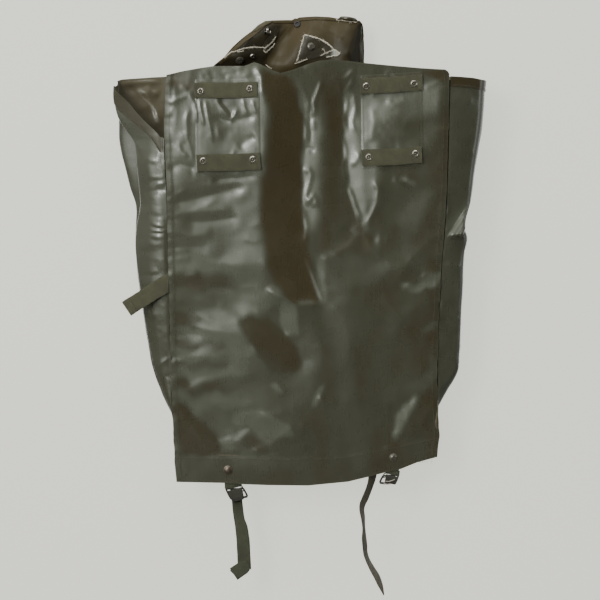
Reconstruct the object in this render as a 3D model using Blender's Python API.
"""Waterproof coated-fabric dry bag, hanging empty, with its harness side to -Y.

The origin lies on the outer face of the flat back panel, near its middle. +Z is up, and +X is to
the right of a viewer who faces the harness side; "left" and "right" are that viewer's.
All sizes are in millimetres, turned into metres by MM, and all angles in tables are in degrees.
"""

import math

import bmesh
import bpy
import numpy as np
from mathutils import Vector

MM = 0.001

# ---------------------------------------------------------------- shared dimensions
SHEET = 1.0          # coated fabric, with its seam allowance, as a plain sheet
GAP = 0.3            # clearance between stacked layers
WEB = 1.5            # webbing thickness
FRONT_Y = -80.0      # harness face at z = 0
FRONT_LEAN = 60.0 / 750.0   # the front stands further out at the mouth than at the base
BASE_Z = -307.0      # top of the base panel
SHANK_R = 2.0        # shanks of the rivets and base studs
SHANK_HOLE_R = SHANK_R + GAP

# ---------------------------------------------------------------- finishes
FINISHES = {
    "coated_fabric": dict(rgb=(0.060, 0.055, 0.036), roughness=0.30, coat=0.4),
    "inner_fabric": dict(rgb=(0.085, 0.060, 0.035), roughness=0.38, coat=0.2),
    "loop_webbing": dict(rgb=(0.085, 0.085, 0.045), roughness=0.85),
    "strap_webbing": dict(rgb=(0.060, 0.065, 0.040), roughness=0.85),
    "nickel": dict(rgb=(0.62, 0.60, 0.56), roughness=0.25, metallic=1.0),
    "copper": dict(rgb=(0.30, 0.19, 0.13), roughness=0.35, metallic=1.0),
    "black_steel": dict(rgb=(0.05, 0.05, 0.05), roughness=0.35, metallic=1.0),
    "painted_snap": dict(rgb=(0.07, 0.07, 0.06), roughness=0.40, metallic=0.6),
}


def material(name, rgb, roughness, metallic=0.0, coat=0.0):
    result = bpy.data.materials.new(name)
    result.use_nodes = True
    inputs = result.node_tree.nodes["Principled BSDF"].inputs
    inputs["Base Color"].default_value = (*rgb, 1)
    inputs["Roughness"].default_value = roughness
    inputs["Metallic"].default_value = metallic
    inputs["Coat Weight"].default_value = coat
    result.diffuse_color = (*rgb, 1)
    return result


def finish(obj, finish_name, parent):
    """Gives obj its own material and its parent."""
    obj.data.materials.append(material(obj.name + "_finish", **FINISHES[finish_name]))
    obj.parent = parent
    return obj


# ---------------------------------------------------------------- shape makers
def link(name, data):
    obj = bpy.data.objects.new(name, data)
    bpy.context.scene.collection.objects.link(obj)
    return obj


def mesh_object(name, bm):
    bmesh.ops.recalc_face_normals(bm, faces=bm.faces)
    mesh = bpy.data.meshes.new(name)
    bm.to_mesh(mesh)
    bm.free()
    return link(name, mesh)


def empty(name, location, turn_x=0.0, turn_y=0.0, parent=None):
    """A frame at location, turned in radians about x or y."""
    frame = link(name, None)
    frame.location = Vector(location) * MM
    frame.rotation_euler = (turn_x, turn_y, 0)
    frame.parent = parent
    return frame


def extrude(bm, points, shift):
    """Adds the solid that a flat polygon sweeps when moved by shift."""
    face = bm.faces.new([bm.verts.new(Vector(point) * MM) for point in points])
    swept = bmesh.ops.extrude_face_region(bm, geom=[face])["geom"]
    verts = [item for item in swept if isinstance(item, bmesh.types.BMVert)]
    bmesh.ops.translate(bm, verts=verts, vec=Vector(shift) * MM)


def prism(bm, outline, y0, y1):
    """Adds an (x, z) outline extruded along y from y0 to y1."""
    extrude(bm, [(x, y0, z) for x, z in outline], (0, y1 - y0, 0))


def extruded(name, points, shift, finish_name, parent=None):
    bm = bmesh.new()
    extrude(bm, points, shift)
    return finish(mesh_object(name, bm), finish_name, parent)


def plate(name, outline, y0, y1, finish_name, parent=None):
    bm = bmesh.new()
    prism(bm, outline, y0, y1)
    return finish(mesh_object(name, bm), finish_name, parent)


def rectangle(x0, x1, z0, z1):
    return [(x0, z0), (x1, z0), (x1, z1), (x0, z1)]


def circle(radius, steps, x=0.0, z=0.0):
    angles = [2 * math.pi * i / steps for i in range(steps)]
    return [(x + radius * math.cos(a), z + radius * math.sin(a)) for a in angles]


def turned(name, profile, finish_name, parent, centre, closed=False, steps=24):
    """A turned shape about the y axis through centre. profile is (radius, y)."""
    bm = bmesh.new()
    verts = [bm.verts.new((radius * MM, y * MM, 0)) for radius, y in profile]
    edges = [bm.edges.new(pair) for pair in zip(verts, verts[1:])]
    if closed:
        edges.append(bm.edges.new((verts[-1], verts[0])))
    bmesh.ops.spin(
        bm, geom=verts + edges, cent=(0, 0, 0), axis=(0, 1, 0), angle=2 * math.pi,
        steps=steps, use_merge=True, use_duplicate=False,
    )
    bmesh.ops.remove_doubles(bm, verts=bm.verts, dist=1e-6)
    obj = mesh_object(name, bm)
    obj.data.shade_smooth()
    obj.data.set_sharp_from_angle(angle=math.radians(35))
    obj.location = Vector(centre) * MM
    return finish(obj, finish_name, parent)


def sheet(name, grid, thickness, finish_name, parent=None):
    """A bent sheet with its mid-surface through a grid of points."""
    bm = bmesh.new()
    rows = [[bm.verts.new(Vector(point) * MM) for point in row] for row in grid]
    for row, above in zip(rows, rows[1:]):
        for i in range(len(row) - 1):
            bm.faces.new((row[i], row[i + 1], above[i + 1], above[i]))
    obj = finish(mesh_object(name, bm), finish_name, parent)
    solidify = obj.modifiers.new("thickness", "SOLIDIFY")
    solidify.thickness = thickness * MM
    solidify.offset = 0
    solidify.use_even_offset = True
    solidify.use_rim = True
    return obj


def boolean_tool(name, bm, parent):
    """A body that is only used by Boolean modifiers, so it is not rendered."""
    tool = mesh_object(name, bm)
    tool.parent = parent
    tool.hide_render = True
    tool.display_type = "WIRE"
    return tool


def boolean(target, name, operation, tool):
    modifier = target.modifiers.new(name, "BOOLEAN")
    modifier.operation = operation
    modifier.solver = "EXACT"
    modifier.object = tool


def cut_shank_holes(obj, centres, front):
    """Cuts shank holes through obj, at (x, z) centres in the front frame."""
    bm = bmesh.new()
    for x, z in centres:
        prism(bm, circle(SHANK_HOLE_R, 16, x, z), -30.0, 30.0)
    boolean(obj, "holes", "DIFFERENCE", boolean_tool("cut_" + obj.name, bm, front))


# ---------------------------------------------------------------- fitting positions
# harness loops: name, centre (x, z), length, turn (+ raises the right end),
# then the left and right rivets' (x, z)
LOOPS = [
    ("left_upper", (-145.8, 334.0), 112.0, -2.0, (-191.7, 330.5), (-103.5, 335.3)),
    ("left_lower", (-141.3, 203.0), 113.0, 1.4, (-187.6, 205.2), (-98.1, 207.9)),
    ("right_upper", (151.9, 343.0), 112.0, 3.2, (106.2, 339.5), (192.2, 344.3)),
    ("right_lower", (153.0, 213.5), 107.0, 3.2, (111.1, 212.0), (195.1, 218.3)),
]
# buckle tabs: side, stud (x, z), tab centre (x, z) at the stud's height,
# lean (+ swings the lower end right), distance from tab centre down to the buckle's pivot
TABS = [
    ("left", (-142.2, -351.0), (-137.0, -351.0), 14.0, 34.0),
    ("right", (155.3, -328.5), (155.3, -328.5), -14.0, 30.0),
]
STUD_SPOTS = [tab[1] for tab in TABS]


def rivet_spots(side=""):
    """Rivet centres of the loops on one side, or of all loops."""
    return [spot for loop in LOOPS if loop[0].startswith(side) for spot in loop[4:]]


# ---------------------------------------------------------------- the bag's shell
# outline of the harness panel, in the front frame: (x, z)
FRONT_OUTLINE = [
    (-255.6, 354), (-252, 362), (-192.6, 372.6), (-93.6, 381.6), (-46.8, 364),
    (21.6, 383), (104.4, 381.6), (203.4, 372.6), (252, 364), (262.8, 351),
    (234, -334.8), (167.4, -351), (77.4, -369), (-12.6, -372.6), (-237.6, -369),
]
BACK_OUTLINE = [(-250, -352.0), (246, -352.0), (256, 372.0), (-250, 372.0)]
HEM_STRIP_OUTLINE = [
    (-233, -331), (231.5, -331), (230, -334), (166, -347.5),
    (76, -365.5), (-12.6, -369.5), (-234, -366),
]
BASE_FRONT_INSET = 4.2   # base panel's front edge behind the harness face

GUSSET_BOTTOM = BASE_Z + 3.5
GUSSET_STATIONS = 11
GUSSET_SIDE_INSET = 4.5    # front edge inside the harness panel's side edge
GUSSET_FRONT_INSET = 4.6   # front edge behind the harness face
GUSSET_FOLD_DEPTH = 0.47   # fold's y as a share of the harness face's y
GUSSET_REAR_Y = -2.4
GUSSET_REAR_X = 240        # rear edge at the bottom
GUSSET_REAR_FLARE = 4 / 700
# fold line of each side gusset: (z, x)
LEFT_FOLD = [
    (347, -351), (297, -340), (198, -318.6), (108, -300.6), (27, -304), (-45, -298.8),
    (-135, -279), (-206, -262.8), (-256, -240), (GUSSET_BOTTOM, -212),
]
RIGHT_FOLD = [
    (346, 324.4), (306, 319), (232, 308), (173, 299.7), (89, 286), (40, 285),
    (-19, 282.4), (-108, 276.5), (-172, 271), (-237, 236), (GUSSET_BOTTOM, 208),
]


def front_y(z):
    return FRONT_Y - FRONT_LEAN * z


def build_panels(front):
    panel = plate("front_panel", FRONT_OUTLINE, 0, SHEET, "coated_fabric", front)
    cut_shank_holes(panel, rivet_spots() + STUD_SPOTS, front)

    plate("back_panel", BACK_OUTLINE, -SHEET, 0, "coated_fabric")

    strip_y = SHEET + GAP
    strip = plate("base_hem_strip", HEM_STRIP_OUTLINE, strip_y, strip_y + SHEET,
                  "coated_fabric", front)
    cut_shank_holes(strip, STUD_SPOTS, front)

    front_edge = front_y(BASE_Z) + BASE_FRONT_INSET
    rear_edge = -1.4
    corners = [(-231, front_edge), (227, front_edge), (240, rear_edge), (-243, rear_edge)]
    extruded("base_panel", [(x, y, BASE_Z - SHEET) for x, y in corners], (0, 0, SHEET),
             "coated_fabric")


def build_gusset(name, fold, side, top_corner, bottom_corner, tops):
    """One side of the bag, folded once along its height.

    Its front edge lies behind the harness panel and its rear edge in front of the back panel.
    side is -1 or +1, the corners are the harness panel's, and tops are the heights where the
    front edge, fold and rear edge end.
    """
    fold_heights, fold_xs = zip(*sorted(fold))
    top_x, bottom_x = top_corner[0], bottom_corner[0]
    # the left edge's heights serve both sides
    edge_top, edge_bottom = FRONT_OUTLINE[0][1], FRONT_OUTLINE[-1][1]
    grid = []
    for i in range(GUSSET_STATIONS):
        t = i / (GUSSET_STATIONS - 1)
        front_z, fold_z, rear_z = (GUSSET_BOTTOM + t * (top - GUSSET_BOTTOM) for top in tops)
        share = (front_z - edge_bottom) / (edge_top - edge_bottom)
        front_x = bottom_x + share * (top_x - bottom_x) - side * GUSSET_SIDE_INSET
        fold_x = float(np.interp(fold_z, fold_heights, fold_xs))
        rear_x = side * (GUSSET_REAR_X + GUSSET_REAR_FLARE * (rear_z - GUSSET_BOTTOM))
        grid.append([
            (front_x, front_y(front_z) + GUSSET_FRONT_INSET, front_z),
            (fold_x, GUSSET_FOLD_DEPTH * front_y(fold_z), fold_z),
            (rear_x, GUSSET_REAR_Y, rear_z),
        ])
    sheet(name, grid, SHEET, "coated_fabric")


# ---------------------------------------------------------------- harness patches and loops
# side, x0, x1, z0, z1
PATCHES = [("left", -202.0, -84.0, 182.0, 355.0), ("right", 97.0, 209.0, 192.0, 363.0)]
LOOP_W = 29.0                   # webbing width
LOOP_BACK = -2 * GAP - SHEET    # back face of a loop's riveted ends
LOOP_STAND = 2.0                # the middle stands off, to let a harness strap through
LOOP_END = 24                   # length of each flat riveted end
LOOP_RISE = 6                   # length of the slope up to the middle
RIVET_R, RIVET_H = 6.2, 2.2
WASHER_R, WASHER_T = 5.5, 0.8


def build_patches(front):
    for side, x0, x1, z0, z1 in PATCHES:
        patch = plate(f"{side}_harness_patch", rectangle(x0, x1, z0, z1),
                      -GAP - SHEET, -GAP, "coated_fabric", front)
        cut_shank_holes(patch, rivet_spots(side), front)


def build_rivet(name, x, z, front):
    """A hollow-topped rivet through loop, patch and panel, with its washer behind the panel."""
    head = LOOP_BACK - WEB - GAP
    washer_front = SHEET + GAP
    washer_back = washer_front + WASHER_T
    tail = washer_back + GAP
    rivet_profile = [
        (0, head - 0.9), (1.9, head - 0.9), (2.5, head - RIVET_H), (3.9, head - RIVET_H),
        (5.5, head - 1.4), (RIVET_R, head), (SHANK_R, head), (SHANK_R, tail),
        (3.6, tail), (3.4, tail + 0.9), (0, tail + 0.9),
    ]
    turned(f"{name}_rivet", rivet_profile, "nickel", front, (x, 0, z))
    washer_profile = [
        (SHANK_HOLE_R, washer_front), (WASHER_R, washer_front),
        (WASHER_R, washer_back), (SHANK_HOLE_R, washer_back),
    ]
    turned(f"{name}_washer", washer_profile, "nickel", front, (x, 0, z), closed=True, steps=20)


def build_loop(name, centre, length, turn, left_spot, right_spot, front):
    x, z = centre
    frame = empty(f"at_{name}", (x, LOOP_BACK, z), turn_y=-math.radians(turn), parent=front)
    end = length / 2
    flat = end - LOOP_END
    raised = flat - LOOP_RISE
    # (x, stand-off) along the loop
    path = [(-end, 0), (-flat, 0), (-raised, LOOP_STAND),
            (raised, LOOP_STAND), (flat, 0), (end, 0)]
    bottom = -LOOP_W / 2
    profile = [(px, -WEB - stand, bottom) for px, stand in path]
    profile += [(px, -stand, bottom) for px, stand in reversed(path)]
    loop = extruded(f"{name}_loop", profile, (0, 0, LOOP_W), "loop_webbing", frame)
    cut_shank_holes(loop, (left_spot, right_spot), front)

    ends = ("outer", "inner") if name.startswith("left") else ("inner", "outer")
    for end_name, spot in zip(ends, (left_spot, right_spot)):
        build_rivet(f"{name}_{end_name}", *spot, front)


# ---------------------------------------------------------------- base studs, tabs and buckles
TAB_W = 26.2         # webbing width
TAB_TOP = 11         # tab's upper end above its centre
STUD_R, STUD_H = 7.6, 2.6
BUCKLE_W, BUCKLE_H = 33.0, 21.0
BAR = 3.0            # thickness of the buckle's bars
MIDDLE_BAR_BACK = 6.9    # the middle bar is set back, so that the strap threads between bars
MIDDLE_BAR_Z = -9
TAB_FRONT = 2 * SHEET + 2 * GAP    # front of the tab's front ply
BAR_Y = TAB_FRONT + WEB + GAP + BAR / 2
TAB_INNER_R = BAR / 2 + GAP        # bend of the tab round the pivot bar
TAB_OUTER_R = TAB_INNER_R + WEB


def build_tab(side, stud_spot, reach, tab_frame, front):
    """A strip of webbing doubled round the buckle's pivot bar."""
    angles = [math.pi + math.pi * i / 8 for i in range(9)]

    def bend(radius):
        return [(BAR_Y + radius * math.cos(a), -reach + radius * math.sin(a)) for a in angles]

    profile = [
        (BAR_Y - TAB_OUTER_R, TAB_TOP), *bend(TAB_OUTER_R), (BAR_Y + TAB_OUTER_R, TAB_TOP),
        (BAR_Y + TAB_INNER_R, TAB_TOP), *reversed(bend(TAB_INNER_R)),
        (BAR_Y - TAB_INNER_R, TAB_TOP),
    ]
    tab = extruded(f"{side}_buckle_tab", [(-TAB_W / 2, y, z) for y, z in profile],
                   (TAB_W, 0, 0), "strap_webbing", tab_frame)
    cut_shank_holes(tab, [stud_spot], front)


def build_stud(side, stud_spot, front):
    x, z = stud_spot
    tail = BAR_Y + TAB_OUTER_R + GAP
    profile = [
        (0, -GAP - STUD_H), (3.5, -GAP - STUD_H * 0.93), (5.8, -GAP - STUD_H * 0.7),
        (STUD_R - 0.3, -GAP - 0.9), (STUD_R, -GAP), (SHANK_R, -GAP), (SHANK_R, tail),
        (4.4, tail), (4.0, tail + 1.0), (0, tail + 1.0),
    ]
    turned(f"{side}_base_stud", profile, "copper", front, (x, 0, z))


def build_buckle(side, reach, tab_frame):
    """A three-bar buckle that hangs from its pivot bar, the origin of its frame."""
    pivot = empty(f"at_{side}_buckle", (0, BAR_Y, -reach), parent=tab_frame)
    w, b = BUCKLE_W / 2, BAR / 2
    low = -BUCKLE_H + b
    arm_y = (b - 0.6, MIDDLE_BAR_BACK + b)
    arm_z = (MIDDLE_BAR_Z - b, MIDDLE_BAR_Z + b)
    left_side = (-w, -w + BAR, -b, b, low, b)
    # parts joined to the left side: x0, x1, y0, y1, z0, z1, slightly inset from one another
    joined = [
        (w - BAR, w, -b, b, low, b),                                       # right side
        (-w + 0.5, w - 0.5, -b + 0.4, b - 0.4, -b + 0.4, b - 0.4),         # pivot bar
        (-w + 0.6, w - 0.6, -b - 0.4, b - 0.3, low + 0.2, low + 3.4),      # lower bar
        (-w + 0.2, -w + BAR - 0.2, *arm_y, *arm_z),                        # left arm
        (w - BAR + 0.2, w - 0.2, *arm_y, *arm_z),                          # right arm
        (-w + 0.4, w - 0.4, MIDDLE_BAR_BACK - b, MIDDLE_BAR_BACK + b - 0.1,
         arm_z[0] + 0.1, arm_z[1] - 0.1),                                  # middle bar
    ]

    def block(x0, x1, y0, y1, z0, z1):
        bm = bmesh.new()
        prism(bm, rectangle(x0, x1, z0, z1), y0, y1)
        return bm

    buckle = finish(mesh_object(f"{side}_buckle", block(*left_side)), "black_steel", pivot)
    for i, limits in enumerate(joined):
        tool = boolean_tool(f"join_{side}_{i}", block(*limits), pivot)
        boolean(buckle, f"join{i}", "UNION", tool)


def build_base_fittings(front):
    for side, stud_spot, (x, z), lean, reach in TABS:
        tab_frame = empty(f"at_{side}_tab", (x, 0, z), turn_y=-math.radians(lean), parent=front)
        build_tab(side, stud_spot, reach, tab_frame, front)
        build_stud(side, stud_spot, front)
        build_buckle(side, reach, tab_frame)


# ---------------------------------------------------------------- straps
# The left base strap's layer is behind the buckle's pivot and lower bars and in front of its
# middle bar.
LEFT_STRAP_Y = BAR_Y + BAR / 2 + 2 * GAP + WEB
# (x, z), down the right edge, round the turned-over end and up the left edge
LEFT_STRAP_OUTLINE = [
    (-116.1, -388.5), (-113.4, -423), (-108, -451.8), (-102.6, -486), (-100.4, -513),
    (-99.2, -530.8), (-122.8, -546.8), (-140.9, -529.6), (-125.5, -522.9),
    (-128.5, -486), (-131.4, -451.8), (-132.8, -423), (-136.1, -388.5),
]
# right base strap, loose and turned nearly edge-on:
# x, z, y, half width, turn about its length
RIGHT_STRAP_STATIONS = [
    (117.5, -359, -38, 12.5, 38), (116, -371, -39, 12.5, 44), (112, -383, -41, 12.5, 52),
    (105, -400, -43, 12.5, 58), (99, -411, -44, 12.5, 66), (98.6, -422, -44, 12.5, 70),
    (101, -440, -43, 12.5, 70), (102.5, -470, -41, 12.5, 72), (105, -488, -40, 12.5, 74),
    (109, -501, -40, 12.5, 72), (118, -520, -41, 12.5, 64), (124.5, -535, -42, 12.5, 62),
    (130, -552, -43, 9.0, 66), (136, -573, -44, 3.0, 72),
]
# side strap, from under the harness panel's left edge out and down in front of the gusset
SIDE_STRAP_OUTLINE = [
    (-236, 3), (-250.4, 3.2), (-301.9, -31.5), (-330.3, -49.3),
    (-323.4, -77), (-297, -58.1), (-249.5, -28.8), (-238, -19),
]


def build_straps(front):
    left_frame = empty("at_left_strap", (0, LEFT_STRAP_Y, 0), parent=front)
    plate("left_base_strap", LEFT_STRAP_OUTLINE, 0, WEB, "strap_webbing", left_frame)

    grid = []
    for x, z, y, half, turn in RIGHT_STRAP_STATIONS:
        dx = half * math.cos(math.radians(turn))
        dy = half * math.sin(math.radians(turn))
        grid.append([(x - dx, y + dy, z), (x, y, z), (x + dx, y - dy, z)])
    sheet("right_base_strap", grid, WEB, "strap_webbing")

    side_frame = empty("at_side_strap", (0, SHEET + GAP, 0), parent=front)
    plate("left_side_strap", SIDE_STRAP_OUTLINE, 0, WEB, "loop_webbing", side_frame)


# ---------------------------------------------------------------- closure flap
FLAP_ORIGIN = Vector((0, -4.0, 382.0))   # the flap's frame, on its fold line at the mouth
# columns from its left edge to its right edge: base, middle and top (x, y, z)
FLAP_COLUMNS = [
    [(-169, -45, 385), (-126, -42, 417.6), (-81, -22, 455.4)],
    [(-121, -30, 385), (-95, -28, 417.6), (-63, -14, 458.1)],
    [(-74, -10, 385), (-63, -10, 417.6), (-43, -8, 459.5)],
    [(-40, -26, 385), (-27, -24, 417.6), (-18, -8, 461.7)],
    [(9, -26, 385), (20, -24, 419.4), (20, -14, 465.3)],
    [(59, -32, 385), (72, -32, 419.4), (75.6, -24, 459.9)],
    [(102.6, -6, 385), (102.6, -6, 419.4), (97, -8, 455.4)],
]
FLAP_COLS, FLAP_ROWS = 24, 4
FLAP_PATCH_T = SHEET * 0.8
FLAP_PATCH_OFF = SHEET + 0.75   # mid-surface of a patch off the flap's mid-surface
# reinforcing patches: name, first and last grid column,
# then the lower and upper limits of t at the first column and at the last
FLAP_PATCHES = [
    ("right_flap_patch", 14, 20, (0.10, 0.74), (0.42, 0.52)),
    ("left_flap_patch", 1, 8, (0.06, 0.30), (0.10, 0.62)),
]
ON_PATCH = FLAP_PATCH_OFF + FLAP_PATCH_T / 2 + 1.1   # cap's seat off the flap's mid-surface
ON_FLAP = SHEET / 2 + 0.5
SNAP_POST_R, SNAP_HOLE_R = 1.8, 2.2
# snaps and studs: name, grid column, t, patch, cap's seat, radius, height, finish
FLAP_SNAPS = [
    ("right_flap_snap", 15.9, 0.36, "right_flap_patch", ON_PATCH, 6.5, 2.4, "painted_snap"),
    ("left_flap_snap", 3.1, 0.16, "left_flap_patch", ON_PATCH, 5.0, 2.2, "painted_snap"),
    ("left_flap_stud", 5.4, 0.24, "left_flap_patch", ON_PATCH, 4.6, 2.4, "nickel"),
    ("upper_flap_stud", 6.4, 0.74, None, ON_FLAP, 5.0, 2.6, "nickel"),
]
EYELET_HOLE_R, EYELET_R = 3.0, 6.0
EYELET_WALL = 0.7
EYELET_SEAT = SHEET / 2 + 1.4   # flange's seat off the flap's mid-surface
EYELET_FLANGE = 0.9             # flange thickness


def flap_point(s, t):
    """A point of the flap: s from its left edge to its right, t from the fold line to the top.

    Each column is a parabola in t, and a Catmull-Rom spline runs across the columns.
    """
    last = len(FLAP_COLUMNS) - 1
    i = min(int(s * last), last - 1)
    f = s * last - i
    p = []
    for j in (i - 1, i, i + 1, i + 2):
        base, middle, top = map(Vector, FLAP_COLUMNS[max(0, min(last, j))])
        p.append(base * (1 - t) * (1 - 2 * t) + middle * 4 * t * (1 - t) + top * t * (2 * t - 1))
    return 0.5 * (
        2 * p[1]
        + (p[2] - p[0]) * f
        + (2 * p[0] - 5 * p[1] + 4 * p[2] - p[3]) * f * f
        + (3 * p[1] - p[0] - 3 * p[2] + p[3]) * f ** 3
    )


def flap_normal(s, t):
    """Unit normal of the flap on its harness side, towards -y."""
    step = 1e-3
    across = flap_point(min(1, s + step), t) - flap_point(max(0, s - step), t)
    up = flap_point(s, min(1, t + step)) - flap_point(s, max(0, t - step))
    return across.cross(up).normalized()


def flap_at(column, t, out=0.0):
    """The point at a grid column and t in the flap's own frame, moved out along the normal."""
    s = column / FLAP_COLS
    return flap_point(s, t) + flap_normal(s, t) * out - FLAP_ORIGIN


def build_flap_patch(name, first, last, first_limits, last_limits, frame):
    grid = []
    for row in range(4):
        points = []
        for column in range(first, last + 1):
            f = (column - first) / (last - first)
            low, high = (a + f * (b - a) for a, b in zip(first_limits, last_limits))
            points.append(flap_at(column, low + (high - low) * row / 3, FLAP_PATCH_OFF))
        grid.append(points)
    return sheet(name, grid, FLAP_PATCH_T, "inner_fabric", frame)


def flap_fitting(name, column, t, profile, finish_name, targets, hole_r, frame,
                 closed=False, steps=20):
    """A turned fitting whose +y runs into the flap, with a hole for it through each target."""
    centre = flap_at(column, t)
    facing = (-flap_normal(column / FLAP_COLS, t)).to_track_quat("Y", "Z")
    fitting = turned(name, profile, finish_name, frame, centre, closed, steps)

    bm = bmesh.new()
    prism(bm, circle(hole_r, 14), -8, 8)
    cutter = boolean_tool("cut_flap", bm, frame)
    cutter.location = centre * MM
    for obj in (fitting, cutter):
        obj.rotation_mode = "QUATERNION"
        obj.rotation_quaternion = facing
    for target in targets:
        boolean(target, "hole", "DIFFERENCE", cutter)


def snap_profile(seat, r, h):
    """Cap on the harness side, post, and a flat socket behind the flap."""
    socket = SHEET / 2 + 1.0
    return [
        (0, -seat - h), (r * 0.55, -seat - h * 0.92), (r * 0.9, -seat - h * 0.5), (r, -seat),
        (SNAP_POST_R, -seat), (SNAP_POST_R, socket), (r * 0.8, socket),
        (r * 0.75, socket + 1.8), (0, socket + 1.8),
    ]


def build_eyelet(flap, frame):
    seat, face = EYELET_SEAT, EYELET_SEAT + EYELET_FLANGE
    wall_r = EYELET_HOLE_R + EYELET_WALL
    profile = [
        (EYELET_HOLE_R, -face), (EYELET_R - 0.4, -face), (EYELET_R, -seat - EYELET_FLANGE * 0.5),
        (EYELET_R, -seat), (wall_r, -seat), (wall_r, seat), (EYELET_R, seat),
        (EYELET_R, face), (EYELET_HOLE_R, face),
    ]
    flap_fitting("hanging_eyelet", 12.0, 0.90, profile, "black_steel", [flap],
                 EYELET_HOLE_R + 1.1, frame, closed=True, steps=24)


def build_flap():
    frame = empty("flap_fold_axis", FLAP_ORIGIN)
    grid = [[flap_at(column, row / FLAP_ROWS) for column in range(FLAP_COLS + 1)]
            for row in range(FLAP_ROWS + 1)]
    flap = sheet("closure_flap", grid, SHEET, "inner_fabric", frame)
    patches = {entry[0]: build_flap_patch(*entry, frame) for entry in FLAP_PATCHES}
    for name, column, t, patch, seat, radius, height, finish_name in FLAP_SNAPS:
        targets = [flap, patches[patch]] if patch else [flap]
        flap_fitting(name, column, t, snap_profile(seat, radius, height), finish_name,
                     targets, SNAP_HOLE_R, frame)
    build_eyelet(flap, frame)


# ---------------------------------------------------------------- build
for old in list(bpy.data.objects):
    bpy.data.objects.remove(old)

# What is fixed to the harness panel hangs on this frame: y = 0 is the panel's outer face
# and -y is outward.
front_frame = empty("front_frame", (0, FRONT_Y, 0), turn_x=math.atan(FRONT_LEAN))
build_panels(front_frame)
build_gusset("left_gusset", LEFT_FOLD, -1, FRONT_OUTLINE[0], FRONT_OUTLINE[-1],
             tops=(208, 347, 368))
build_gusset("right_gusset", RIGHT_FOLD, 1, FRONT_OUTLINE[9], FRONT_OUTLINE[10],
             tops=(346, 346, 368))
build_patches(front_frame)
for loop_entry in LOOPS:
    build_loop(*loop_entry, front_frame)
build_base_fittings(front_frame)
build_straps(front_frame)
build_flap()
bpy.context.view_layer.update()
